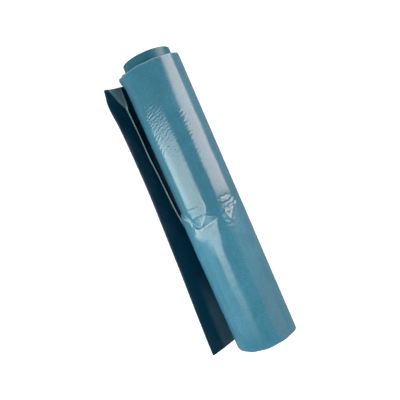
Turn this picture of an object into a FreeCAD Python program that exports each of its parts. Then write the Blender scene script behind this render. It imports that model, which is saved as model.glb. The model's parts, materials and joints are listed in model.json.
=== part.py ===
"""Coreless roll of 25 perforated film sacks, lying on a table with its loose tail curled up beside it.

The roll's axis runs along Y, Z is up, and the table is z = 0. The origin is on the flat strip that
the roll rests on, at mid-length. The tail leaves the underside of the roll towards -X. The sack
web is a flattened tube folded in a C, so the two halves of its outer face meet at y = 0.
"""

import FreeCAD, Part
import math
import os

# Roll, in millimetres.
WEB_WIDTH = 350.0  # width of the folded web, along the roll's axis
AXIS_HEIGHT = 36.0  # roll axis above the table
BORE_RADIUS = 13.0  # hole that the winding mandrel leaves
CORE_RADIUS = 29.1  # outside of the inner wind
SLIP_GAP = 0.3  # clearance between the inner and the outer wind
INNER_BAGS = 15
OUTER_BAGS = 9
CORE_SHIFT = 12.2  # the inner wind stands this far out of the +Y end

# Outermost sack, whose last turn is tight on the +Y half and loose on the -Y half.
TIGHT_RADIUS = 36.4
LOOSE_RADIUS = 38.07
LOOSE_CENTRE_X = -1.69
LOOSE_CENTRE_Z = 36.8
LOOSE_WALL = 0.6

# Loose tail of the outermost sack.
TAIL_THICKNESS = 0.5
TAIL_START_X = -7.0  # line where the film leaves the roll
TAIL_CURL_CENTRE_X = -14.0
TAIL_CURL_RADIUS = 40.0  # of the middle of the film
FLAP_HINGE_X = -30.0
HINGE_GAP = 0.35  # between the film and a hinge line, on each side of the line
FOLD_HEIGHT = 29.5
FOLD_X_AT_TOP = -61.0  # at the +Y end
FOLD_X_AT_BOTTOM = -69.5  # at the -Y end
FOLD_OFFSET = 1.6  # from the fold line to the middle of each ply
EDGE_X_AT_TOP = -46.3  # free edge of the folded-back ply
EDGE_X_AT_BOTTOM = -43.8
DOG_EAR = 24.0  # length of free edge that the turned-in corner takes away
DOG_EAR_TIP = 4.0  # width that is left at the +Y end

Y_AXIS = FreeCAD.Vector(0, 1, 0)
HALF = WEB_WIDTH / 2
BAG_SECTION = (CORE_RADIUS**2 - BORE_RADIUS**2) / INNER_BAGS  # the same film area in every bag


def cylinder(radius, low_y, high_y, centre_x=0.0, centre_z=AXIS_HEIGHT):
    base = FreeCAD.Vector(centre_x, low_y, centre_z)
    return Part.makeCylinder(radius, high_y - low_y, base, Y_AXIS)


def ring(inner, outer, low_y, high_y):
    return cylinder(outer, low_y, high_y).cut(cylinder(inner, low_y, high_y))


def above(height, shape):
    """The part of a shape that lies above this height. A film that rests on the table is flat there."""
    box = Part.makeBox(4 * AXIS_HEIGHT, WEB_WIDTH, 4 * AXIS_HEIGHT)
    box.translate(FreeCAD.Vector(-2 * AXIS_HEIGHT, -HALF, height))
    return shape.common(box)


def wound_bags(first_number, count, start_radius, shift):
    """One ring per bag. Every ring holds the same area of film, so the rings get thinner outwards."""
    bags = {}
    inner = start_radius
    for number in range(first_number, first_number + count):
        outer = math.sqrt(inner**2 + BAG_SECTION)
        bags["bag_%02d" % number] = ring(inner, outer, shift - HALF, shift + HALF)
        inner = outer
    return bags, inner


def outer_wrap(bore):
    """The outermost bag: a tight turn over the whole length, and a loose panel over the -Y half."""
    tight = cylinder(TIGHT_RADIUS, -HALF, HALF)
    panel_place = (LOOSE_CENTRE_X, LOOSE_CENTRE_Z)
    panel = above(0, cylinder(LOOSE_RADIUS, -HALF, 0, *panel_place))
    hollow = cylinder(LOOSE_RADIUS - LOOSE_WALL, -HALF, -LOOSE_WALL, *panel_place)
    panel = panel.cut(above(LOOSE_WALL, hollow))
    wrap = above(0, tight).fuse(panel).cut(cylinder(bore, -HALF, HALF))
    return wrap.removeSplitter()


def curl_point(angle, offset=0.0):
    """Point (x, z) of the curled film, at this angle from where the curl starts on the table."""
    radius = TAIL_CURL_RADIUS - offset
    centre_z = TAIL_CURL_RADIUS + TAIL_THICKNESS / 2
    return (
        TAIL_CURL_CENTRE_X - radius * math.sin(angle),
        centre_z - radius * math.cos(angle),
    )


def solid_between(outline_low, outline_high):
    return Part.makeLoft([outline_low, outline_high], True, True)


def vector(point, y):
    return FreeCAD.Vector(point[0], y, point[1])


def polygon(points, y):
    corners = [vector(point, y) for point in points]
    return Part.makePolygon(corners + corners[:1])


def curl_edges(start, end, y, offset):
    middle = (start + end) / 2
    ends = [vector(curl_point(angle, offset), y) for angle in (start, middle, end)]
    return Part.Arc(*ends).toShape()


def tail_root(wrap):
    """Strip of film on the table, from under the roll to the line where the flap flexes."""
    half = TAIL_THICKNESS / 2
    gap_angle = HINGE_GAP / TAIL_CURL_RADIUS
    end = math.asin((TAIL_CURL_CENTRE_X - FLAP_HINGE_X) / TAIL_CURL_RADIUS) - gap_angle
    low_start = vector((TAIL_START_X, 0), -HALF)
    high_start = vector((TAIL_START_X, TAIL_THICKNESS), -HALF)
    low_arc = curl_edges(0, end, -HALF, -half)
    high_arc = curl_edges(0, end, -HALF, half)
    low_end = vector(curl_point(end, -half), -HALF)
    high_end = vector(curl_point(end, half), -HALF)
    edges = [
        Part.makeLine(low_start, vector(curl_point(0, -half), -HALF)),
        low_arc,
        Part.makeLine(low_end, high_end),
        high_arc,
        Part.makeLine(vector(curl_point(0, half), -HALF), high_start),
        Part.makeLine(high_start, low_start),
    ]
    face = Part.Face(Part.Wire(Part.__sortEdges__(edges)))
    return face.extrude(FreeCAD.Vector(0, WEB_WIDTH, 0)).cut(wrap)


def fold_x(y):
    share = (HALF - y) / WEB_WIDTH
    return FOLD_X_AT_TOP + share * (FOLD_X_AT_BOTTOM - FOLD_X_AT_TOP)


def edge_x(y):
    share = (HALF - y) / WEB_WIDTH
    return EDGE_X_AT_TOP + share * (EDGE_X_AT_BOTTOM - EDGE_X_AT_TOP)


def flap_slope(y):
    """Angle at which the curl turns straight, so that the flap ends at the fold line."""
    low, high = math.radians(20), math.radians(70)
    for _ in range(50):
        angle = (low + high) / 2
        x, z = curl_point(angle, FOLD_OFFSET)
        if z + (x - fold_x(y)) * math.tan(angle) < FOLD_HEIGHT:
            low = angle
        else:
            high = angle
    return angle


def flap_section(y):
    half = TAIL_THICKNESS / 2
    slope = flap_slope(y)
    gap_angle = HINGE_GAP / TAIL_CURL_RADIUS
    start = math.asin((TAIL_CURL_CENTRE_X - FLAP_HINGE_X) / TAIL_CURL_RADIUS) + gap_angle
    tangent = (-math.cos(slope), math.sin(slope))
    reach = curl_point(slope, FOLD_OFFSET)[0] - fold_x(y)
    length = reach / math.cos(slope) - HINGE_GAP

    def end(offset):
        x, z = curl_point(slope, offset)
        return (x + tangent[0] * length, z + tangent[1] * length)

    edges = [
        curl_edges(start, slope, y, -half),
        Part.makeLine(vector(curl_point(slope, -half), y), vector(end(-half), y)),
        Part.makeLine(vector(end(-half), y), vector(end(half), y)),
        Part.makeLine(vector(end(half), y), vector(curl_point(slope, half), y)),
        curl_edges(slope, start, y, half),
        Part.makeLine(vector(curl_point(start, half), y), vector(curl_point(start, -half), y)),
    ]
    return Part.Wire(Part.__sortEdges__(edges))


def tail_flap():
    """The curled ply, from its flex line up to the fold."""
    return solid_between(flap_section(-HALF), flap_section(HALF))


def end_section(y, edge):
    """Section of the folded-back ply, from the fold line down to the free edge at x = edge."""
    half = TAIL_THICKNESS / 2
    slope = flap_slope(y)
    along = (math.cos(slope), -math.sin(slope))
    normal = (math.sin(slope), math.cos(slope))
    start = (
        fold_x(y) + normal[0] * FOLD_OFFSET + along[0] * HINGE_GAP,
        FOLD_HEIGHT + normal[1] * FOLD_OFFSET + along[1] * HINGE_GAP,
    )
    length = (edge - start[0]) / along[0]
    corners = []
    for reach, offset in ((0, -half), (length, -half), (length, half), (0, half)):
        corners.append(
            (
                start[0] + along[0] * reach + normal[0] * offset,
                start[1] + along[1] * reach + normal[1] * offset,
            )
        )
    return polygon(corners, y)


def tail_end():
    """The folded-back ply, with its +Y corner turned in along a slanting crease."""
    ear_y = HALF - DOG_EAR
    main = solid_between(end_section(-HALF, edge_x(-HALF)), end_section(ear_y, edge_x(ear_y)))
    tip_x = fold_x(HALF) + DOG_EAR_TIP
    corner = solid_between(end_section(ear_y, edge_x(ear_y)), end_section(HALF, tip_x))
    return main.fuse(corner).removeSplitter()


def main():
    os.makedirs("parts", exist_ok=True)
    parts, core_outside = wound_bags(1, INNER_BAGS, BORE_RADIUS, CORE_SHIFT)
    outer_bags, wind_outside = wound_bags(
        1 + INNER_BAGS, OUTER_BAGS, core_outside + SLIP_GAP, 0.0
    )
    parts.update(outer_bags)
    wrap = outer_wrap(wind_outside)
    parts["bag_25_wrap"] = wrap
    parts["bag_25_tail_root"] = tail_root(wrap)
    parts["bag_25_tail_flap"] = tail_flap()
    parts["bag_25_tail_end"] = tail_end()
    for name, shape in parts.items():
        shape.exportStep("parts/" + name + ".step")


main()
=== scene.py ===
"""Looks of a coreless roll of blue film sacks with a loose, folded-back tail.

Shapes are worked out in millimetres in the row's frame: the roll's axis runs along Y and the table
is z = 0. An angle about the axis is in degrees, 0 at the top of the roll, and grows towards +X.
"""

import json
import math

import bpy
import numpy as np
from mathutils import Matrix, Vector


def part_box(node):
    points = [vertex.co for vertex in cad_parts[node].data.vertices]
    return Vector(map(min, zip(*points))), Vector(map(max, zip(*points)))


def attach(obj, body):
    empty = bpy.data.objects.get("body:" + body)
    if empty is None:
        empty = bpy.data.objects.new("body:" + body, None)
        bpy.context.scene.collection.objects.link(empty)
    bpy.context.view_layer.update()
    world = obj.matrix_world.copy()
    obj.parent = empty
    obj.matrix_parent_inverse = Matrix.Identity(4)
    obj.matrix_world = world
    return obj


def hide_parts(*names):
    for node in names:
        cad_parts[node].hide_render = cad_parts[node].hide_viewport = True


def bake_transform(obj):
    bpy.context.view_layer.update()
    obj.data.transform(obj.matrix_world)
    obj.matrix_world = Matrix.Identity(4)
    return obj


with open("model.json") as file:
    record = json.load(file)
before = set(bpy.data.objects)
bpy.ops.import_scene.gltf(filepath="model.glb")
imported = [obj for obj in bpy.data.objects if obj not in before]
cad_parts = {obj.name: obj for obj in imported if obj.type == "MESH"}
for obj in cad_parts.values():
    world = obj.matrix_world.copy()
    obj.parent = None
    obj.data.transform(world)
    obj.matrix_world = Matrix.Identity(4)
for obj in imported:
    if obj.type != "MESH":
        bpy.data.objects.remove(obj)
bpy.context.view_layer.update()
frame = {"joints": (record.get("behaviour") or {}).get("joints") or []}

MM = 0.001


def box_mm(node):
    """Lower and upper corner of a CAD node's box."""
    low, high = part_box(node)
    return np.array(low) / MM, np.array(high) / MM


# Sizes read from the CAD frame.
HALF = box_mm("bag_24")[1][1]  # half the width of the web
AXIS_Z = (box_mm("bag_01")[0][2] + box_mm("bag_01")[1][2]) / 2
CORE_SHIFT = box_mm("bag_15")[1][1] - HALF  # how far the inner wind stands out of the +Y end
CORE_RADIUS = box_mm("bag_15")[1][0]
TIGHT_RADIUS = box_mm("bag_25_wrap")[1][0]

# Sizes that the CAD source gives to hidden or curved parts, in millimetres.
BORE_RADIUS = 13.0
SLIP_GAP = 0.3  # between the inner and the outer wind
INNER_BAGS = 15
OUTER_BAGS = 9
LOOSE_RADIUS = 38.07  # of the panel that stands off the roll, about a centre of its own
LOOSE_X = box_mm("bag_25_wrap")[0][0] + LOOSE_RADIUS
LOOSE_Z = box_mm("bag_25_wrap")[1][2] - LOOSE_RADIUS
TIGHT_WALL = 0.62
LOOSE_WALL = 0.42
TAIL_FILM = 0.4  # the four plies of the tail, drawn a little thicker than they are
TAIL_START_X = -8.0
CURL_X = -14.0
CURL_RADIUS = 40.0
CURL_Z = 40.25
FOLD_TOP = np.array([-61.0, 29.5])  # fold line at the +Y end, x and z
FOLD_BOTTOM = np.array([-69.5, 29.5])  # and at the -Y end
FOLD_OFFSET = 1.6  # from the middle of the fold to the film on either side

# The web of one sack: 0.35 m wide folded, 1.10 m long.
WEB_WIDTH = 2 * HALF
SACK_LENGTH = 1100.0
BAG_SECTION = (CORE_RADIUS**2 - BORE_RADIUS**2) / INNER_BAGS  # what one sack adds to the radius squared
PITCH = math.pi * BAG_SECTION / SACK_LENGTH  # of the spiral: one turn of folded film


# ---------------------------------------------------------------- helpers

CREASE_ROUNDING = 0.3  # half width of the rounded top of every crease


def smooth(share):
    """Eased step: 0 up to a share of 0, and 1 from a share of 1."""
    share = np.clip(share, 0, 1)
    return share * share * (3 - 2 * share)


def bell(value, centre, width):
    """1 at the centre, falling off to both sides."""
    return np.exp(-(((value - centre) / width) ** 2))


def curve_through(points, at):
    """Smooth curve through a few (place, value) points, flat beyond the last ones."""
    places, values = np.array(sorted(points), float).T
    slopes = np.gradient(values, places)
    slopes[[0, -1]] = 0
    at = np.clip(at, places[0], places[-1])
    i = np.clip(np.searchsorted(places, at) - 1, 0, len(places) - 2)
    gap = places[i + 1] - places[i]
    t = (at - places[i]) / gap
    start = (1 + 2 * t) * (1 - t) ** 2 * values[i] + t * (1 - t) ** 2 * gap * slopes[i]
    end = t**2 * (3 - 2 * t) * values[i + 1] + t**2 * (t - 1) * gap * slopes[i + 1]
    return start + end


def ripples(u, v, wavelength, direction, spread, seed, count):
    """Irregular waves of about -1 to 1, whose crests run across the given direction in degrees."""
    random = np.random.default_rng(seed)
    field = np.zeros(np.broadcast(u, v).shape)
    for _ in range(count):
        angle = math.radians(direction + random.normal(0, spread))
        turn = 2 * math.pi / (wavelength * random.uniform(0.7, 1.5))
        phase = random.uniform(0, 2 * math.pi)
        field += np.sin(turn * (u * math.cos(angle) + v * math.sin(angle)) + phase)
    return field * math.sqrt(2 / count)


def crease(u, v, points, height, width):
    """Narrow crest along a run of points, or a narrow valley where height is negative."""
    nearest = np.full(np.broadcast(u, v).shape, np.inf)
    for (u0, v0), (u1, v1) in zip(points, points[1:]):
        length = (u1 - u0) ** 2 + (v1 - v0) ** 2
        t = np.clip(((u - u0) * (u1 - u0) + (v - v0) * (v1 - v0)) / length, 0, 1)
        nearest = np.minimum(nearest, np.hypot(u - u0 - t * (u1 - u0), v - v0 - t * (v1 - v0)))
    return height * np.exp((CREASE_ROUNDING - np.hypot(nearest, CREASE_ROUNDING)) / width)


def paint(piece, values):
    """Paleness of each point of a piece, which its material reads: painted highlights and painted light.
    """
    attribute = piece.data.attributes.new("painted_light", "FLOAT", "POINT")
    attribute.data.foreach_set("value", values.reshape(-1))


def make_mesh(name, points, faces, sharp=35.0):
    """Piece from points in millimetres. Edges that turn by more than sharp degrees stay sharp."""
    mesh = bpy.data.meshes.new(name)
    mesh.from_pydata((points * MM).tolist(), [], faces)
    mesh.validate()
    mesh.shade_smooth()
    mesh.set_sharp_from_angle(angle=math.radians(sharp))
    piece = bpy.data.objects.new(name, mesh)
    bpy.context.scene.collection.objects.link(piece)
    return piece


def grid_faces(rows, columns, close_rows, close_columns):
    """Quads of a grid of points, row after row, closed round in one or both directions."""
    r = np.arange(rows if close_rows else rows - 1)[:, None]
    c = np.arange(columns if close_columns else columns - 1)[None, :]
    right = (c + 1) % columns
    below = (r + 1) % rows
    quads = np.stack([r * columns + c, r * columns + right, below * columns + right, below * columns + c])
    return quads.reshape(4, -1).T


def film_shell(name, middle, normal, half, painted_light):
    """Closed sheet of film from a grid of mid-surface points, their normals and the half thickness."""
    rows, columns = middle.shape[:2]
    half = np.broadcast_to(half, (rows, columns))[..., None]
    top = middle + normal * half
    bottom = middle - normal * half
    loop = np.concatenate([top, bottom[:, ::-1]], axis=1)
    width = 2 * columns
    sides = grid_faces(rows, width, False, True)
    caps = []
    for row, turned in ((0, True), (rows - 1, False)):
        for c in range(columns - 1):
            quad = [c, c + 1, width - 2 - c, width - 1 - c]
            quad = [row * width + q for q in quad]
            caps.append(quad[::-1] if turned else quad)
    sheet = make_mesh(name, loop.reshape(-1, 3), sides.tolist() + caps)
    paint(sheet, np.concatenate([painted_light, painted_light[:, ::-1]], axis=1))
    return sheet


def edge_rounding(distance, half):
    """Share of the full thickness at a distance from a rounded edge."""
    inside = np.clip(distance / half, 0.02, 1)
    return np.sqrt(1 - (1 - inside) ** 2)


def spaced(stops):
    """Places from the first stop to the last, with the step that each stretch asks for."""
    runs = []
    for (start, step), (end, _) in zip(stops, stops[1:]):
        count = max(1, round((end - start) / step))
        runs.append(np.linspace(start, end, count, endpoint=False))
    return np.concatenate(runs + [[stops[-1][0]]])


# ---------------------------------------------------------------- materials

# Where the outermost film turns to the loose panel's lighter colour, along the roll in metres. That
# lighter colour is painted light, for the stronger light on the loose panel.
LOOSE_PAINTED_LIGHT_FROM = 0.004
LOOSE_PAINTED_LIGHT_FULL = -0.03
CONTRAST = 0.08  # of the film's cloudy colour
LINES_SHOWN = 0.35  # share of the die lines that shows in the colour
GRAIN_SHOWN = 0.6  # and of the grain
UNEVEN_GLOSS = 0.03
FLOOR_GLOW = 0.62  # what the floor shines with to the camera only


def new_material(name):
    """Material with one Principled shader. Gives the material, its nodes, its links and the shader."""
    material = bpy.data.materials.new(name)
    material.use_nodes = True
    nodes = material.node_tree.nodes
    links = material.node_tree.links
    nodes.clear()
    output = nodes.new("ShaderNodeOutputMaterial")
    shader = nodes.new("ShaderNodeBsdfPrincipled")
    links.new(shader.outputs["BSDF"], output.inputs["Surface"])
    return material, nodes, links, shader


def stretched_place(nodes, links, scale):
    """Place on the object in metres, scaled along each axis."""
    place = nodes.new("ShaderNodeTexCoord")
    mapping = nodes.new("ShaderNodeMapping")
    mapping.inputs["Scale"].default_value = scale
    links.new(place.outputs["Object"], mapping.inputs["Vector"])
    return mapping.outputs["Vector"]


def noise(nodes, links, place, scale, detail, distortion=0.0):
    """Cloud noise with about scale lumps to the metre."""
    texture = nodes.new("ShaderNodeTexNoise")
    texture.inputs["Scale"].default_value = scale
    texture.inputs["Detail"].default_value = detail
    texture.inputs["Distortion"].default_value = distortion
    links.new(place, texture.inputs["Vector"])
    return texture.outputs["Fac"]


def ramp(nodes, links, factor, stops):
    """Colour ramp through stops of (position, colour)."""
    node = nodes.new("ShaderNodeValToRGB")
    elements = node.color_ramp.elements
    while len(elements) < len(stops):
        elements.new(0.5)
    for element, (position, colour) in zip(elements, stops):
        element.position = position
        element.color = (*colour, 1)
    links.new(factor, node.inputs["Fac"])
    return node.outputs["Color"]


def span(nodes, links, value, low, high, to_low, to_high):
    """Value carried from the range low to high over to the range to_low to to_high."""
    node = nodes.new("ShaderNodeMapRange")
    node.inputs["From Min"].default_value = low
    node.inputs["From Max"].default_value = high
    node.inputs["To Min"].default_value = to_low
    node.inputs["To Max"].default_value = to_high
    links.new(value, node.inputs["Value"])
    return node.outputs["Result"]


def bump(nodes, links, height, distance, strength, before=None):
    """Normal of a surface roughened by a height of up to distance metres."""
    node = nodes.new("ShaderNodeBump")
    node.inputs["Distance"].default_value = distance
    node.inputs["Strength"].default_value = strength
    links.new(height, node.inputs["Height"])
    if before is not None:
        links.new(before, node.inputs["Normal"])
    return node.outputs["Normal"]


def mixed(nodes, links, factor, first, second, blend="MIX"):
    """Mix of two colours. Each is a colour or a socket, and so is the factor."""
    node = nodes.new("ShaderNodeMix")
    node.data_type = "RGBA"
    node.blend_type = blend
    sockets = (node.inputs["Factor"], node.inputs["A"], node.inputs["B"])
    for socket, value in zip(sockets, (factor, first, second)):
        if isinstance(value, bpy.types.NodeSocket):
            links.new(value, socket)
        else:
            socket.default_value = value
    return node.outputs["Result"]


def grey(value):
    return (value, value, value)


def cloudy_colour(nodes, links, cloud, colour):
    darker = tuple(np.array(colour) * (1 - CONTRAST))
    lighter = tuple(np.array(colour) * (1 + CONTRAST))
    return ramp(nodes, links, cloud, [(0.3, darker), (0.7, lighter)])


def film_material(name, colour, roughness, gloss, loose_painted_light_colour=None, painted_light_colour=None):
    """Glossy polythene: cloudy colour, fine grain, faint lengthwise die lines, pebbled gloss.

    The colour of the panel that stands off the roll, beyond mid-length, is a lighter copy of the film's
    colour: painted light, for the stronger light on that panel.
    The pale colour is the colour where the mesh's paleness is 1: painted highlights along crests and
    edges, and painted light.
    """
    material, nodes, links, shader = new_material(name)
    even = stretched_place(nodes, links, (1, 1, 1))
    along = stretched_place(nodes, links, (1, 0.08, 1))
    cloud = noise(nodes, links, even, scale=34, detail=4, distortion=0.6)
    shade = cloudy_colour(nodes, links, cloud, colour)
    if loose_painted_light_colour is not None:
        axes = nodes.new("ShaderNodeSeparateXYZ")
        place = nodes.new("ShaderNodeTexCoord")
        links.new(place.outputs["Object"], axes.inputs["Vector"])
        share = span(nodes, links, axes.outputs["Y"], LOOSE_PAINTED_LIGHT_FROM, LOOSE_PAINTED_LIGHT_FULL, 0, 1)
        shade = mixed(nodes, links, share, shade, cloudy_colour(nodes, links, cloud, loose_painted_light_colour))
    # Painted highlights and painted light, where the mesh's paleness asks for them.
    if painted_light_colour is not None:
        painted_light = nodes.new("ShaderNodeAttribute")
        painted_light.attribute_name = "painted_light"
        shade = mixed(nodes, links, painted_light.outputs["Fac"], shade, (*painted_light_colour, 1))
    die_lines = noise(nodes, links, along, scale=420, detail=3)
    lines = ramp(nodes, links, die_lines, [(0.3, grey(0.82)), (0.7, grey(1))])
    specks = noise(nodes, links, even, scale=620, detail=3)
    grain = ramp(nodes, links, specks, [(0.38, grey(0.72)), (0.62, grey(1))])
    shade = mixed(nodes, links, LINES_SHOWN, shade, lines, "MULTIPLY")
    shade = mixed(nodes, links, GRAIN_SHOWN, shade, grain, "MULTIPLY")
    links.new(shade, shader.inputs["Base Color"])
    uneven = span(nodes, links, cloud, 0.3, 0.7, roughness - UNEVEN_GLOSS, roughness + UNEVEN_GLOSS)
    links.new(uneven, shader.inputs["Roughness"])
    pebbles = noise(nodes, links, even, scale=700, detail=2)
    folds = noise(nodes, links, even, scale=150, detail=3, distortion=1.2)
    normal = bump(nodes, links, pebbles, distance=0.00006, strength=0.4)
    normal = bump(nodes, links, folds, distance=0.0002, strength=0.3, before=normal)
    links.new(normal, shader.inputs["Normal"])
    shader.inputs["IOR"].default_value = 1.5
    shader.inputs["Specular IOR Level"].default_value = gloss
    return material


def wound_film():
    return film_material("wound_film", (0.018, 0.11, 0.166), roughness=0.3, gloss=0.36)


def outer_film():
    return film_material(
        "outer_film",
        (0.037, 0.152, 0.23),
        roughness=0.18,
        gloss=0.5,
        # Painted light: a lighter copy of the film's colour for the loose panel.
        loose_painted_light_colour=(0.044, 0.183, 0.275),
        painted_light_colour=(0.34, 0.47, 0.53),
    )


# Painted shade: the tail is the same film as the roll, given a far darker colour for the shade that it
# lies in.
def shaded_tail_film():
    return film_material(
        "shaded_tail_film", (0.001, 0.029, 0.06), roughness=0.24, gloss=0.16, painted_light_colour=(0.3, 0.45, 0.51)
    )


def floor_material():
    """Pale floor. It looks brighter than the light that it sends back to the object."""
    material, nodes, links, shader = new_material("floor")
    even = stretched_place(nodes, links, (1, 1, 1))
    cloud = noise(nodes, links, even, scale=3, detail=2)
    seen = nodes.new("ShaderNodeLightPath").outputs["Is Camera Ray"]
    pale = ramp(nodes, links, cloud, [(0.3, grey(0.56)), (0.7, grey(0.6))])
    links.new(mixed(nodes, links, seen, (*grey(0.25), 1), pale), shader.inputs["Base Color"])
    links.new(span(nodes, links, seen, 0, 1, 0, FLOOR_GLOW), shader.inputs["Emission Strength"])
    shader.inputs["Emission Color"].default_value = (1, 1, 1, 1)
    shader.inputs["Roughness"].default_value = 0.9
    shader.inputs["Specular IOR Level"].default_value = 0.0
    return material


# ---------------------------------------------------------------- wound bags

SPIRAL_STEPS = 80  # to one turn
PLY_HALF = 0.42 * PITCH  # half the thickness of the folded film as drawn, with air left between turns
FOLD_EASE = 0.09  # rounding of a folded edge
END_RECESS = 0.3  # how far the wound sacks stay inside the outermost turn's ends
# How ragged the ends are, in millimetres: from sack to sack, slowly along the spiral, and turn by turn.
SACK_DRIFT = 0.25
SPIRAL_SWAY = 0.12
TURN_JITTER = 0.07
# Sacks that stand out of the +Y end beside the tail: how far, and about which angle and how widely.
SKEW = {20: 1.2, 21: 3.2, 22: 4.4, 23: 4.0, 24: 1.6}
SKEW_ANGLE = -math.pi / 2
SKEW_WIDTH = math.sqrt(0.35)


def ragged_reach(number, angle):
    """Half width of a sack's web along its spiral: no two turns end at quite the same place."""
    random = np.random.default_rng(100 + number)
    turn = angle / (2 * math.pi)
    drift = SACK_DRIFT * random.uniform(-1, 1)
    drift = drift + SPIRAL_SWAY * np.sin(angle * random.uniform(0.15, 0.4) + number)
    jitter = random.normal(0, TURN_JITTER, len(angle) // SPIRAL_STEPS + 3)
    return HALF - END_RECESS + drift + np.interp(turn, np.arange(len(jitter)) + turn[0], jitter)


def standing_out(number, angle):
    """How far a sack's +Y edge stands out, on the tail's side of the roll."""
    from_middle = np.remainder(angle - SKEW_ANGLE + math.pi, 2 * math.pi) - math.pi
    return SKEW.get(number, 0) * bell(from_middle, 0, SKEW_WIDTH)


def spiral_bag(number, first_step, last_step, start_radius, shift, material):
    """One sack's folded web, wound in a spiral. Its folded edges show as turns in the end faces."""
    angle = np.arange(first_step, last_step + 1) * 2 * math.pi / SPIRAL_STEPS
    radius = start_radius + PITCH * (angle / (2 * math.pi) + 0.5)
    reach = ragged_reach(number, angle)
    # Section of the web: distance from its middle, side along Y, and how far back from the edge.
    outline = [
        (PLY_HALF, -1, FOLD_EASE),
        (PLY_HALF, 1, FOLD_EASE),
        (0, 1, 0),
        (-PLY_HALF, 1, FOLD_EASE),
        (-PLY_HALF, -1, FOLD_EASE),
        (0, -1, 0),
    ]
    rows = []
    for offset, side, back in outline:
        r = radius + offset
        y = shift + side * (reach - back) + (standing_out(number, angle) if side > 0 else 0)
        rows.append(np.stack([r * np.sin(angle), y, AXIS_Z + r * np.cos(angle)], -1))
    points = np.stack(rows, 1)
    columns = len(outline)
    last = (len(angle) - 1) * columns
    faces = grid_faces(len(angle), columns, False, True).tolist()
    faces.append(list(range(columns))[::-1])
    faces.append([last + c for c in range(columns)])
    bag = make_mesh("bag_%02d_film" % number, points.reshape(-1, 3), faces, 25)
    bag.data.materials.append(material)
    return bag


def wound_bags(first_number, count, start_radius, shift, body, material):
    """Sacks wound one after another. Gives the radius that they reach."""
    outer = start_radius
    end_step = 0
    for number in range(first_number, first_number + count):
        outer = math.sqrt(outer**2 + BAG_SECTION)
        first_step = end_step
        turns = (outer - start_radius) / PITCH
        if number == first_number + count - 1:
            turns -= 1  # the last turn's room is where the next layer starts
        end_step = round(turns * SPIRAL_STEPS)
        bag = spiral_bag(number, first_step, end_step, start_radius, shift, material)
        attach(bag, body)
        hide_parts("bag_%02d" % number)
    return outer


# ---------------------------------------------------------------- outermost turn

# Edge of the loose panel round the roll, and how wide its step is: (degrees, millimetres).
LOOSE_EDGE = [
    (-180, 2), (-66, 3), (-54, -4), (-42, -15), (-33, -16.8),
    (2, -12), (12, -9), (44, -6.4), (60, -2), (180, 0),
]
LOOSE_RAMP = [(-70, 7), (-52, 6), (-43, 1.6), (-3, 1.4), (8, 10), (21, 3), (44, 3), (56, 9)]
# How far that edge sags: (degrees, millimetres), and how far back along the roll the sag is felt.
LIP_DROP = [(-90, 0.2), (-74, 0.3), (-58, 1.8), (-50, 2.6), (-44, 2.1), (-34, 2.2), (-8, 2.2)]
LIP_REACH = 12
LIP_DIP = (32, 13)  # degrees: middle and half width of a second dip in that edge, past the top
LIP_DIP_DEPTH = 0.9
# Rounded spots of the film: y and half width, then degrees and half width.
WRINKLED_PATCH = (98, 48, -36, 30)
WRINKLED_BAND = (84, 40, 21, 8)
SUNK_SIDE = (-12, 9, -62, 16)
FLARED_END = (173, 6.5, -88, 22)
PATCH_HEIGHT = 0.054
BAND_HEIGHT = 0.06
PLAIN_HEIGHT = 0.006  # of the same wrinkles elsewhere on the tight panel
SUNK_DEPTH = 1.9
FLARE = 3.2  # how far the film's +Y end stands out on the tail's side
RELIEF_END = 115  # degrees from the top, where the film is plain
RELIEF_FADE = 30
# Crest of the pocket between the two panels: (degrees, y). Its film slopes down under the loose edge.
POCKET_CREST = [(-34, -16.6), (-29, -13), (-15, -4.3), (2, -11.4)]
POCKET_SIDES = (-34, 3)  # degrees
POCKET_RISE = 0.85
POCKET_FLOOR = -0.3
POCKET_BACK = 0.38  # slope of the crest's far side
POCKET_SOFTNESS = 0.12
# Where the film's folded edges run past the plain ends: (degrees, half width, millimetres).
FAR_SKEW = [(74, 24, 1.6), (-86, 24, 1.4)]
NEAR_SKEW = [(92, 34, -6.5)]
SKEW_REACH = 16  # how far from an end its skew begins
WAVER = 0.28  # unevenness of the ends round the roll
LEAST_WALL = 0.3  # where the outside dips at the seam
RESTING_WALL = 0.28  # where the roll rests on the table
INSIDE_SHARE = 0.2  # share of the relief that the inside follows
ROUNDED_END = 0.4  # length of the rounded edge at both ends
RIM_PAINTED_HIGHLIGHT = 0.4  # of the +Y rim: a painted highlight along it
RIM_WIDTH = 1.6
# Steps of the mesh: (degrees, step from there on) round the roll, and (y, step) along it.
STEPS_ROUND = [(-180, 4), (-104, 1.1), (104, 4), (180, 4)]
STEPS_OUTSIDE = [
    (-HALF + ROUNDED_END, 0.8), (-HALF + 3, 2.6), (-36, 0.45), (14, 0.9),
    (74, 0.75), (146, 1.8), (HALF - 2, 0.7), (HALF - ROUNDED_END, 1),
]
STEPS_INSIDE = [(-HALF + ROUNDED_END, 6), (-36, 1.5), (14, 8), (HALF - ROUNDED_END, 8)]


def edge_skew(degrees, y):
    """How far the film's folded edge runs past the plain end, all round the roll."""
    far = sum(reach * bell(degrees, centre, width) for centre, width, reach in FAR_SKEW)
    near = sum(reach * bell(degrees, centre, width) for centre, width, reach in NEAR_SKEW)
    return np.where(y > 0, far, near)


def along_seam(table, degrees):
    """Value at an angle, read from a table of (degrees, value)."""
    return np.interp(degrees, *np.array(table, float).T)


def looseness(degrees, y):
    """0 where the film lies tight on the roll, 1 on the panel that stands off it."""
    return smooth((along_seam(LOOSE_EDGE, degrees) - y) / along_seam(LOOSE_RAMP, degrees) + 0.5)


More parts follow.
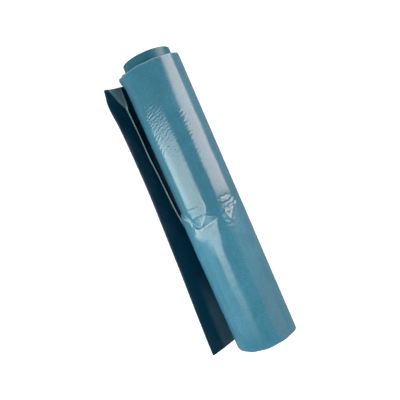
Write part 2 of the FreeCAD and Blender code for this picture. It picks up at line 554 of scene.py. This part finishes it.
def pocket(degrees, y):
    """Height of the film that drops from a crest to the foot of the loose panel's folded edge."""
    first, last = POCKET_SIDES
    crest = along_seam(POCKET_CREST, degrees)
    foot = along_seam(LOOSE_EDGE, degrees)
    rise = POCKET_RISE * smooth((degrees - first) / 10) * smooth((last - degrees) / 8)
    floor = POCKET_FLOOR * smooth((degrees - first) / 6) * smooth((last - degrees) / 6)
    down = rise + (rise - floor) * (y - crest) / np.maximum(crest - foot, 1.2)
    away = rise - POCKET_BACK * (y - crest)
    height = -POCKET_SOFTNESS * np.logaddexp(-down / POCKET_SOFTNESS, -away / POCKET_SOFTNESS)
    return np.maximum(height, np.where(y > crest, 0, floor))


# Creases of the seam, on the tail's side and on the +X side: run of (degrees, y), height, width.
LEFT_CREASES = [
    ([(-8.5, 14), (-8, 5), (-15, -4.3)], 0.4, 0.9),
    ([(-31, -19), (-20, -17.5), (-8, -15.7), (0, -14)], -0.3, 0.45),
    ([(-24, -16.2), (-19, -18.4), (-14, -16.4)], 0.12, 0.8),
    ([(-50, -6), (-38, -2.5), (-23, -1.7), (-15, -4.3)], 0.25, 1.0),
    ([(-47, 7), (-38, 6.4), (-28, 7), (-17, 8)], -0.12, 0.5),
    ([(-47, 10.5), (-36, 9), (-22, 11)], 0.06, 0.8),
    ([(-44, -4), (-41, -10)], 0.2, 1.2),
]
RIGHT_CREASES = [
    ([(18, 6.3), (24, 8), (30, 6.6), (36, 7.8), (41, 5.4)], -0.3, 0.6),
    ([(21, 3.4), (25, 2), (29, 3.2), (34, 1.6), (39, 3.2)], 0.4, 0.7),
    ([(24, 5.4), (28, 4.6), (31, 5.6)], 0.25, 0.6),
    ([(25, -1), (31, 0.2), (37, -0.6), (47, 1.2)], -0.35, 0.7),
    ([(24, -5), (26, -2.6), (31, -2.4), (35, -1.6), (39, -3.6), (45, -1.6), (52, -1.8)], 0.45, 0.6),
    ([(27, -5.7), (35, -4.4), (43, -4.6)], -0.4, 0.6),
    ([(21, -7), (32, -6.6), (44, -7.2)], 0.4, 0.6),
    ([(21, -7), (23, -12), (27, -19)], 0.35, 0.8),
    ([(44, -7.2), (36, -12), (27, -19)], 0.35, 0.8),
    ([(33, -8), (31, -11), (29, -14)], -0.3, 0.6),
    ([(25, -9.5), (31, -10.6), (38, -9)], 0.2, 0.5),
    ([(14, -16.5), (18, -21.4), (27, -22.6), (38, -20)], 0.08, 0.8),
]
# Creases with a painted highlight along them: run of (degrees, y), paleness, width.
PAINTED_HIGHLIGHT_CREASES = [
    ([(-9, 12), (-8.3, 5), (-15, -4.3)], 0.22, 0.7),
    ([(-15, -4.3), (-22, -8.6), (-30, -13.4)], 0.5, 0.5),
    ([(-15, -4.5), (-6, -8), (2, -11.2)], 0.18, 0.5),
    ([(3, -12.6), (-9, -14.4), (-22, -16.4), (-32, -17.9)], 0.8, 0.55),
    ([(-22, -17.2), (-33, -19.6)], 0.3, 0.5),
    ([(3, -12.4), (0, -17.5)], 0.25, 0.6),
    ([(24, 5), (29, 6), (33, 4.8)], 0.3, 0.8),
    ([(40, -1), (47, 2.2)], 0.35, 0.7),
    ([(26, -3), (34, -2.4), (40, -4.6)], 0.3, 0.6),
    ([(23, -8), (27, -17)], 0.25, 0.7),
    ([(40, -8), (29, -16)], 0.25, 0.7),
]


def on_arc(points):
    """Points of (degrees, y) with the angle turned into a length round the roll."""
    return [(math.radians(degrees) * TIGHT_RADIUS, y) for degrees, y in points]


def painted_crease_highlights(degrees, y):
    """Paleness of the outermost film along its creases: painted highlights on their crests."""
    arc = np.radians(degrees) * TIGHT_RADIUS
    creases = [crease(arc, y, on_arc(points), pale, width) for points, pale, width in PAINTED_HIGHLIGHT_CREASES]
    return np.maximum.reduce(creases)


def spot(degrees, y, place):
    """1 in the middle of a rounded spot of the film, falling off all round."""
    middle, reach, middle_degrees, reach_degrees = place
    return bell(y, middle, reach) * bell(degrees, middle_degrees, reach_degrees)


def wrinkles(degrees, y):
    """Fine slanting wrinkles of the tight panel: a patch on the tail's side and a band past the top."""
    arc = np.radians(degrees) * TIGHT_RADIUS
    patch = spot(degrees, y, WRINKLED_PATCH)
    band = spot(degrees, y, WRINKLED_BAND)
    slanting = ripples(arc, y, wavelength=3.6, direction=117, spread=14, seed=5, count=40)
    crossing = ripples(arc, y, wavelength=2.4, direction=74, spread=26, seed=6, count=40)
    height = (PLAIN_HEIGHT + PATCH_HEIGHT * patch + BAND_HEIGHT * band) * slanting
    return height + (PLAIN_HEIGHT + 0.012 * patch) * crossing


def slackness(degrees, y, loose):
    """Slow waves of the film, stronger on the loose panel."""
    arc = np.radians(degrees) * TIGHT_RADIUS
    everywhere = ripples(arc, y, wavelength=26, direction=60, spread=50, seed=7, count=16)
    slow = ripples(arc, y, wavelength=34, direction=20, spread=40, seed=8, count=16)
    quick = ripples(arc, y, wavelength=7, direction=90, spread=25, seed=9, count=20)
    return 0.025 * everywhere + loose * (0.06 * slow + 0.02 * quick)


def seam_sag(degrees, y, loose):
    """How the loose panel's edge sags towards the tight one, and sinks beside it on the tail's side."""
    lip = np.exp(-np.maximum(along_seam(LOOSE_EDGE, degrees) - y, 0) / LIP_REACH) * loose
    height = -along_seam(LIP_DROP, degrees) * lip * smooth((4 - degrees) / 14)
    height -= LIP_DIP_DEPTH * lip * bell(degrees, *LIP_DIP)
    return height - SUNK_DEPTH * spot(degrees, y, SUNK_SIDE)


def relief(degrees, y):
    """Height of the outermost film above its plain shape."""
    arc = np.radians(degrees) * TIGHT_RADIUS
    loose = looseness(degrees, y)
    height = (wrinkles(degrees, y) + pocket(degrees, y)) * (1 - loose)
    height += slackness(degrees, y, loose) + seam_sag(degrees, y, loose)
    for points, rise, width in LEFT_CREASES + RIGHT_CREASES:
        height += crease(arc, y, on_arc(points), rise, width)
    height += FLARE * spot(degrees, y, FLARED_END)
    return height * smooth((RELIEF_END - np.abs(degrees)) / RELIEF_FADE)


def round_axis(radius, degrees, centre_x, centre_z):
    """x and z of a point at an angle round an axis."""
    theta = np.radians(degrees)
    return np.stack([centre_x + radius * np.sin(theta), centre_z + radius * np.cos(theta)])


def wrap_point(degrees, y, depth, place):
    """Point of the outermost turn: depth 0 is its outside, 1 its inside. place is y in the relief."""
    loose = looseness(degrees, place)
    wall = TIGHT_WALL + (LOOSE_WALL - TIGHT_WALL) * loose
    height = relief(degrees, place)
    inside = np.minimum(INSIDE_SHARE * height - wall, height - LEAST_WALL)
    rise = height + depth * (inside - height)
    tight = round_axis(TIGHT_RADIUS + rise, degrees, 0, AXIS_Z)
    stood = round_axis(LOOSE_RADIUS + rise, degrees, LOOSE_X, LOOSE_Z)
    x, z = tight + (stood - tight) * loose
    return np.stack([x, y + 0 * x, np.maximum(z, RESTING_WALL * depth)], -1)


def rounded_end(side, wall, bends):
    """Rows that carry the film round its folded edge: y, depth and y in the relief. side is 1 at +Y."""
    half = wall / 2
    place = side * (HALF - ROUNDED_END)
    return [(side * (HALF - half + half * math.cos(b)), 0.5 - 0.5 * math.sin(b), place) for b in bends]


def build_wrap(material):
    """The outermost turn: one closed band, tight on the +Y half and standing off on the -Y half."""
    degrees = spaced(STEPS_ROUND)[:-1]
    bends = np.radians([65, 30, 0, -30, -65])
    rows = [(y, 0.0, y) for y in spaced(STEPS_OUTSIDE)]
    rows += rounded_end(1, TIGHT_WALL, bends)
    rows += [(y, 1.0, y) for y in spaced(STEPS_INSIDE)[::-1]]
    rows += rounded_end(-1, LOOSE_WALL, bends[::-1])
    y, depth, place = np.array(rows).T[:, :, None]
    turn = degrees[None, :]
    near_end = smooth((np.abs(y) - (HALF - SKEW_REACH)) / SKEW_REACH)
    arc = np.radians(turn) * TIGHT_RADIUS
    waver = WAVER * ripples(arc, 0 * y, wavelength=24, direction=0, spread=5, seed=21, count=12)
    points = wrap_point(turn, y + near_end * (waver + edge_skew(turn, y)), depth, place + 0 * turn)
    faces = grid_faces(len(rows), len(degrees), True, True)[:, ::-1].tolist()
    wrap = make_mesh("outer_wrap", points.reshape(-1, 3), faces, 50)
    wrap.data.materials.append(material)
    # Painted highlights along the creases and along the +Y rim, on the outside only.
    rim = RIM_PAINTED_HIGHLIGHT * smooth((place - HALF + RIM_WIDTH) / 1.2)
    paint(wrap, np.maximum(painted_crease_highlights(turn, place), rim) * (depth < 0.5))
    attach(wrap, "outer_wind")
    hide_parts("bag_25_wrap")


# ---------------------------------------------------------------- tail

# How far the fold strays from its straight line, and where the free edge runs: (y, millimetres).
FOLD_STRAY = [
    (-175, -2.2), (-128, -1.3), (-60, 0.6), (0, 1.8), (40, 2.5),
    (80, 2.2), (128, 0.8), (158, -1.1), (175, 0.9),
]
FREE_EDGE = [
    (-175, -38.8), (-46, -38.8), (-24, -39.6), (4, -42.4), (16, -42.9),
    (40, -43.7), (84, -45.3), (126, -45.5), (175, -46.6),
]
CREASE_START = 0.9  # where the slanting crease of the corner meets the +Y edge, from the fold
CREASE_FOOT = 149.5  # y where the crease meets the free edge
CREASE_EASE = 0.3  # half width over which the film bends at the crease
CREASE_OFFSET = 0.02  # keeps the film before the crease flat
LIP = 1.6  # width of the free edge that curls up
LIP_TURN = math.radians(80)
EAR_RISE = 7.4  # how far the bent-up corner stands over the ply
EAR_REACH = 6.5  # distance over which it rises
EAR_LEAN = 0.6  # how far it leans back along the roll, as a share of its rise
EAR_EASE = 3  # distance from the fold over which the corner starts to bend
PLY_BOW = 0.45  # how far the ply bows up between the fold and its free edge
DRAWN_OUT = 2.2  # how far the tail's -Y end stands beyond the roll's
DRAWN_FROM = -150  # y from which it does
WAVES_FROM = -24  # x from which the tail is free to wave
TEETH_PITCH = 4.2  # of the torn perforation along the free edge
TEETH_DEPTH = 0.1  # half the depth of its teeth
EDGE_PAINTED_HIGHLIGHT = 0.7  # painted highlight along the curled free edge
# Painted light on the bent-up corner, where it catches the light.
EAR_PAINTED_LIGHT = 0.19
LOW_END_PAINTED_SHEEN = 0.1  # painted soft highlight near the -Y end
LIT_THROUGH = 0.12
# Steps of the two meshes along the roll: (y, step from there on).
TAIL_STEPS = [(-HALF, 0.3), (-HALF + 0.9, 1.6), (-HALF + 4, 3.2), (120, 1.6), (HALF - 0.9, 0.3), (HALF, 1)]
TAIL_END_STEPS = [(-HALF, 0.3), (-HALF + 0.9, 0.8), (HALF - 0.9, 0.3), (HALF, 1)]


def joint_named(name):
    return next(joint for joint in frame["joints"] if joint["name"] == name)


def fold_point(y):
    """x and z of the straight fold line."""
    share = ((HALF - y) / WEB_WIDTH)[..., None]
    return FOLD_TOP + share * (FOLD_BOTTOM - FOLD_TOP)


def flap_slope(y):
    """Slope of the flap: its plane passes through the fold line and is tangent to the curl."""
    reach = fold_point(y) - (CURL_X, CURL_Z)
    distance = np.hypot(reach[..., 0], reach[..., 1])
    lean = np.arctan2(-reach[..., 1], -reach[..., 0])
    return np.arcsin((CURL_RADIUS - FOLD_OFFSET) / distance) - lean


def section_points(x, z, y):
    """Points of a film section at each place along the roll."""
    return np.stack([x, y + 0 * x, z], -1)


def across_section(tangent_x, tangent_z):
    """Normals of a film section, on the side that faces the roll."""
    length = np.hypot(tangent_x, tangent_z)
    return np.stack([tangent_z / length, 0 * tangent_x, -tangent_x / length], -1)


def fold_centre(y):
    """x and z of the fold's middle, which strays from the straight line along the flap's plane."""
    slope = flap_slope(y)
    stray = -curve_through(FOLD_STRAY, y) / np.cos(slope)
    along = np.stack([-np.cos(slope), np.sin(slope)], -1)
    return fold_point(y) + along * stray[..., None]


def drawn_out(y):
    """Place along the roll of a point of the tail, which is drawn out a little at its -Y end."""
    return y - DRAWN_OUT * smooth((DRAWN_FROM - y) / 25)


def tail_waves(y, run):
    """Slow waves of the loose film."""
    slow = ripples(y, run, wavelength=62, direction=15, spread=25, seed=31, count=14)
    quick = ripples(y, run, wavelength=17, direction=30, spread=30, seed=32, count=18)
    return 0.35 * slow + 0.08 * quick


def flap_section(y, flap_end):
    """x and z of the tail: flat on the table, then curling up, then straight to the fold."""
    slope = flap_slope(y)
    curl_end = np.stack([CURL_X - CURL_RADIUS * np.sin(slope), CURL_Z - CURL_RADIUS * np.cos(slope)], -1)
    table = np.linspace(0, 1, 4)[None, :-1]
    curl = np.linspace(0, 1, 26)[None, :-1]
    flat = np.linspace(0, 1, 16)[None, :]
    x = [
        TAIL_START_X + (CURL_X - TAIL_START_X) * table + 0 * y,
        CURL_X - CURL_RADIUS * np.sin(slope * curl),
        curl_end[..., 0] + (flap_end - curl_end)[..., 0] * flat,
    ]
    z = [
        CURL_Z - CURL_RADIUS + 0 * table * y,
        CURL_Z - CURL_RADIUS * np.cos(slope * curl),
        curl_end[..., 1] + (flap_end - curl_end)[..., 1] * flat,
    ]
    return np.concatenate(x, axis=1), np.concatenate(z, axis=1)


def build_tail(material):
    """The tail from under the roll to the fold."""
    y = spaced(TAIL_STEPS)[:, None]
    slope = flap_slope(y)
    flap_end = fold_centre(y) - np.stack([np.sin(slope), np.cos(slope)], -1) * FOLD_OFFSET
    x, z = flap_section(y, flap_end)
    normal = across_section(-np.gradient(x, axis=1), -np.gradient(z, axis=1))
    # No waves where the film is held at the table or turned at the fold.
    free = smooth((WAVES_FROM - x) / 14) * smooth((x - flap_end[..., 0]) / 9)
    points = section_points(x, z, drawn_out(y)) + normal * (free * tail_waves(y, x))[..., None]
    half = TAIL_FILM / 2 * edge_rounding(HALF - np.abs(y), TAIL_FILM / 2) + 0 * x
    # Painted light: the film is lightened close to the roll, where a little light comes through it, but
    # not near the +Y end.
    lit_through = LIT_THROUGH * smooth((x + 46) / 6) * smooth((110 - y) / 60)
    tail = film_shell("shaded_tail_film", points, normal, half, lit_through)
    tail.data.materials.append(material)
    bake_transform(tail)
    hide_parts("bag_25_tail_root", "bag_25_tail_flap")


def ply_length(y, slope, centre):
    """Length of the ply folded back, from the middle of the fold to its torn free edge."""
    straight = (curve_through(FREE_EDGE, y) - centre[..., 0]) / np.cos(slope)
    uneven = ripples(y, 0 * y, wavelength=40, direction=0, spread=5, seed=41, count=10)
    teeth = TEETH_DEPTH * np.sign(np.sin(y * 2 * math.pi / TEETH_PITCH)) + 0.08 * uneven
    return straight + teeth - FOLD_OFFSET * np.tan(slope)


def ply_section(y, length):
    """Section of fold, plain ply and curled edge: how far along the ply, and how far above it."""
    turn = np.radians(np.linspace(-90, 90, 13))[None, :-1]
    plain = np.linspace(0, 1, 22)[None, :]
    curl = LIP_TURN * np.linspace(0, 1, 8)[None, 1:]
    radius = LIP / LIP_TURN
    along = [
        -FOLD_OFFSET * np.cos(turn) + 0 * y,
        (length - LIP) * plain,
        length - LIP + radius * np.sin(curl),
    ]
    above = [
        FOLD_OFFSET * np.sin(turn) + 0 * y,
        FOLD_OFFSET + 0 * plain * y,
        FOLD_OFFSET + radius * (1 - np.cos(curl)) + 0 * y,
    ]
    return np.concatenate(along, axis=1), np.concatenate(above, axis=1)


def ply_bow(y, run, length):
    """Uneven bow of the ply folded back."""
    slow = ripples(y, run, wavelength=55, direction=15, spread=25, seed=51, count=14)
    quick = ripples(y, run, wavelength=15, direction=20, spread=30, seed=52, count=18)
    return np.sin(math.pi * np.clip(run / length, 0, 1)) * (PLY_BOW + 0.3 * slow + 0.07 * quick)


def past_crease(y, run, edge_run):
    """Distance of a point past the slanting crease of the +Y corner, eased to about 0 before it."""
    width = HALF - CREASE_FOOT
    climb = edge_run - CREASE_START
    beyond = ((run - CREASE_START) * width + (y - HALF) * climb) / math.hypot(width, climb)
    return 0.5 * (beyond + np.sqrt(beyond**2 + CREASE_EASE**2)) - CREASE_OFFSET


def ply_painted_light(y, run, length, beyond):
    """Paleness of the ply, all of it painted light: a painted highlight along the curled free edge,
    painted light on the bent-up corner, and a painted soft highlight near the -Y end.
    """
    edge = EDGE_PAINTED_HIGHLIGHT * smooth((run - length + LIP + 0.3) / 0.6) * smooth((CREASE_FOOT + 4 - y) / 6)
    corner = EAR_PAINTED_LIGHT * smooth(beyond / 1.5) * smooth(run / EAR_EASE)
    painted_sheen = LOW_END_PAINTED_SHEEN * smooth((run / length - 0.34) / 0.2) * smooth((-70 - y) / 60)
    return np.maximum(np.maximum(edge, corner), painted_sheen)


def blend_fold(end):
    """Bakes the piece's transform. The joint's axis and the flap's upward direction are worked out, but
    nothing uses them.
    """
    joint = joint_named("end_unfold")
    axis = np.array(joint["axis"])
    middle_slope = float(flap_slope(np.array(0.0)))
    upwards = np.array([math.sin(middle_slope), 0, math.cos(middle_slope)])
    upwards -= axis * (upwards @ axis)
    upwards /= np.linalg.norm(upwards)
    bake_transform(end)


def build_tail_end(material):
    """The fold and the ply folded back, with its curled free edge and its bent-up corner."""
    y = spaced(TAIL_END_STEPS)[:, None]
    slope = flap_slope(y)
    centre = fold_centre(y)
    length = ply_length(y, slope, centre)
    along, above = ply_section(y, length)
    run = np.maximum(along, 0)
    beyond = past_crease(y, run, edge_run=float(length[-1, 0]))
    lift = EAR_RISE * (1 - np.exp(-np.maximum(beyond, 0) / EAR_REACH)) * smooth(run / EAR_EASE)
    above += ply_bow(y, run, length) + lift
    x = centre[..., 0] + along * np.cos(slope) + above * np.sin(slope)
    z = centre[..., 1] - along * np.sin(slope) + above * np.cos(slope)
    points = section_points(x, z, drawn_out(y) - EAR_LEAN * lift)
    normal = across_section(np.gradient(x, axis=1), np.gradient(z, axis=1))
    half = TAIL_FILM / 2 * edge_rounding(HALF - np.abs(y), TAIL_FILM / 2) + 0 * x
    end = film_shell("tail_end_film", points, -normal, half, ply_painted_light(y, run, length, beyond))
    end.data.materials.append(material)
    blend_fold(end)
    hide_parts("bag_25_tail_end")


# ---------------------------------------------------------------- studio

FLOOR_SIZE = 3.0  # half its width, in metres
FLOOR_SQUARES = 8
FLOOR_DROP = 0.02  # how far it lies under the roll, in millimetres
PANEL_DISTANCE = 620.0  # of the light panels beside the roll, from its axis
PALE_GREEN = (0.94, 0.98, 0.94)
ICE = (0.94, 1, 1)
PINK = (1, 0.81, 0.735)
# Light panels beside the roll: name, degrees from and to, y from and to, radiance, colour.
PANELS = [
    ("left_box", (-18, -98), (-85, 138), 6.0, (0.98, 0.985, 0.88)),
    ("left_top_box", (-18, -98), (138, 184), 4.3, (0.9, 1, 0.98)),
    ("left_fill", (-68, -98), (-85, 178), 2.2, (0.55, 0.92, 1)),
    ("left_low_0", (-17, -44), (-175, -85), 6.6, PALE_GREEN),
    ("left_low_1", (-17, -44), (-265, -175), 4.6, PALE_GREEN),
    ("left_low_2", (-17, -44), (-355, -265), 2.4, PALE_GREEN),
    ("left_low_3", (-17, -44), (-445, -355), 1.2, PALE_GREEN),
    ("left_low_side", (-44, -90), (-440, -85), 1.1, (0.7, 0.95, 1)),
    ("right_box_35", (35, 94), (-58, 150), 7.8, PINK),
    ("right_box_41", (41, 94), (150, 270), 7.8, PINK),
    ("right_box_49", (49, 94), (270, 356), 7.8, PINK),
    ("core_box", (60, 93), (356, 430), 6.4, (0.86, 0.93, 1)),
    ("right_low_box", (38, 104), (-330, -60), 0.7, (1, 0.86, 0.82)),
    ("right_end_box", (38, 104), (-520, -330), 0.9, (1, 0.5, 0.3)),
    ("left_step_box", (-44, -57), (-128, -85), 6.2, ICE),
    ("left_side_step_box", (-57, -68), (-108, -85), 6.0, ICE),
]
# Panels beyond the two ends, which light the end faces. Their size and place are in metres.
END_PANEL = (0.5, 0.35)
END_PLACE = (0.8, 0.3)  # how far along Y and up
END_TILT = math.radians(70)
END_RADIANCE = 4
ROOM_LIGHT = 0.08  # radiance of the dim room above the panels
BACKDROP = 0.66  # what the camera sees behind the floor
SENSOR_WIDTH = 36
LENS = 36.23
CAMERA_PLACE = (0.00435, 0.05712, 0.51833)  # in metres
CAMERA_TURN = (-0.099, -0.013, -0.413)  # about X, Y and Z, in radians


def build_floor():
    """Wide pale floor just under the roll."""
    side = np.linspace(-FLOOR_SIZE, FLOOR_SIZE, FLOOR_SQUARES + 1) / MM
    x, y = np.meshgrid(side, side)
    points = np.stack([x, y, -FLOOR_DROP + 0 * x], -1).reshape(-1, 3)
    faces = grid_faces(FLOOR_SQUARES + 1, FLOOR_SQUARES + 1, False, False).tolist()
    floor = make_mesh("floor", points, faces)
    floor.data.materials.append(floor_material())


def light_panel(name, size, radiance, colour, place, turn):
    """Flat light panel of even radiance. Its size and place are in metres."""
    light = bpy.data.lights.new(name, "AREA")
    light.shape = "RECTANGLE"
    light.size, light.size_y = size
    light.energy = radiance * math.pi * light.size * light.size_y
    light.color = colour
    lamp = bpy.data.objects.new(name, light)
    lamp.location = place
    lamp.rotation_euler = turn
    bpy.context.scene.collection.objects.link(lamp)


def side_panel(name, degrees, reach, radiance, colour):
    """Light panel beside the roll, between two angles about its axis and two places along it."""
    middle = math.radians((degrees[0] + degrees[1]) / 2)
    spread = math.radians(abs(degrees[1] - degrees[0]) / 2)
    width = 2 * PANEL_DISTANCE * math.tan(spread)
    x = PANEL_DISTANCE * math.sin(middle)
    y = (reach[0] + reach[1]) / 2
    z = AXIS_Z + PANEL_DISTANCE * math.cos(middle)
    size = (width * MM, (reach[1] - reach[0]) * MM)
    light_panel(name, size, radiance, colour, (x * MM, y * MM, z * MM), (0, middle, 0))


def build_lights():
    for panel in PANELS:
        side_panel(*panel)
    for name, side in (("far_end_box", 1), ("near_end_box", -1)):
        place = (0, side * END_PLACE[0], END_PLACE[1])
        light_panel(name, END_PANEL, END_RADIANCE, (1, 1, 1), place, (-side * END_TILT, 0, 0))


def build_room():
    """Dim even light from all round, and a paler backdrop that only the camera sees."""
    world = bpy.data.worlds.new("studio")
    bpy.context.scene.world = world
    world.use_nodes = True
    nodes = world.node_tree.nodes
    links = world.node_tree.links
    background = nodes["Background"]
    background.inputs["Color"].default_value = (1, 1, 1, 1)
    seen = nodes.new("ShaderNodeLightPath").outputs["Is Camera Ray"]
    links.new(span(nodes, links, seen, 0, 1, ROOM_LIGHT, BACKDROP), background.inputs["Strength"])


def build_camera():
    camera = bpy.data.cameras.new("camera")
    camera.sensor_width = SENSOR_WIDTH
    camera.lens = LENS
    camera.clip_start = 0.01
    placed = bpy.data.objects.new("camera", camera)
    placed.location = CAMERA_PLACE
    placed.rotation_euler = CAMERA_TURN
    bpy.context.scene.collection.objects.link(placed)
    bpy.context.scene.camera = placed


def main():
    bpy.context.scene.view_settings.view_transform = "Standard"
    build_camera()
    build_floor()
    build_lights()
    build_room()
    wound = wound_film()
    outer = outer_film()
    tail = shaded_tail_film()
    core_outside = wound_bags(1, INNER_BAGS, BORE_RADIUS, CORE_SHIFT, "inner_wind", wound)
    wound_bags(1 + INNER_BAGS, OUTER_BAGS, core_outside + SLIP_GAP, 0.0, "outer_wind", wound)
    build_wrap(outer)
    build_tail(tail)
    build_tail_end(tail)


main()
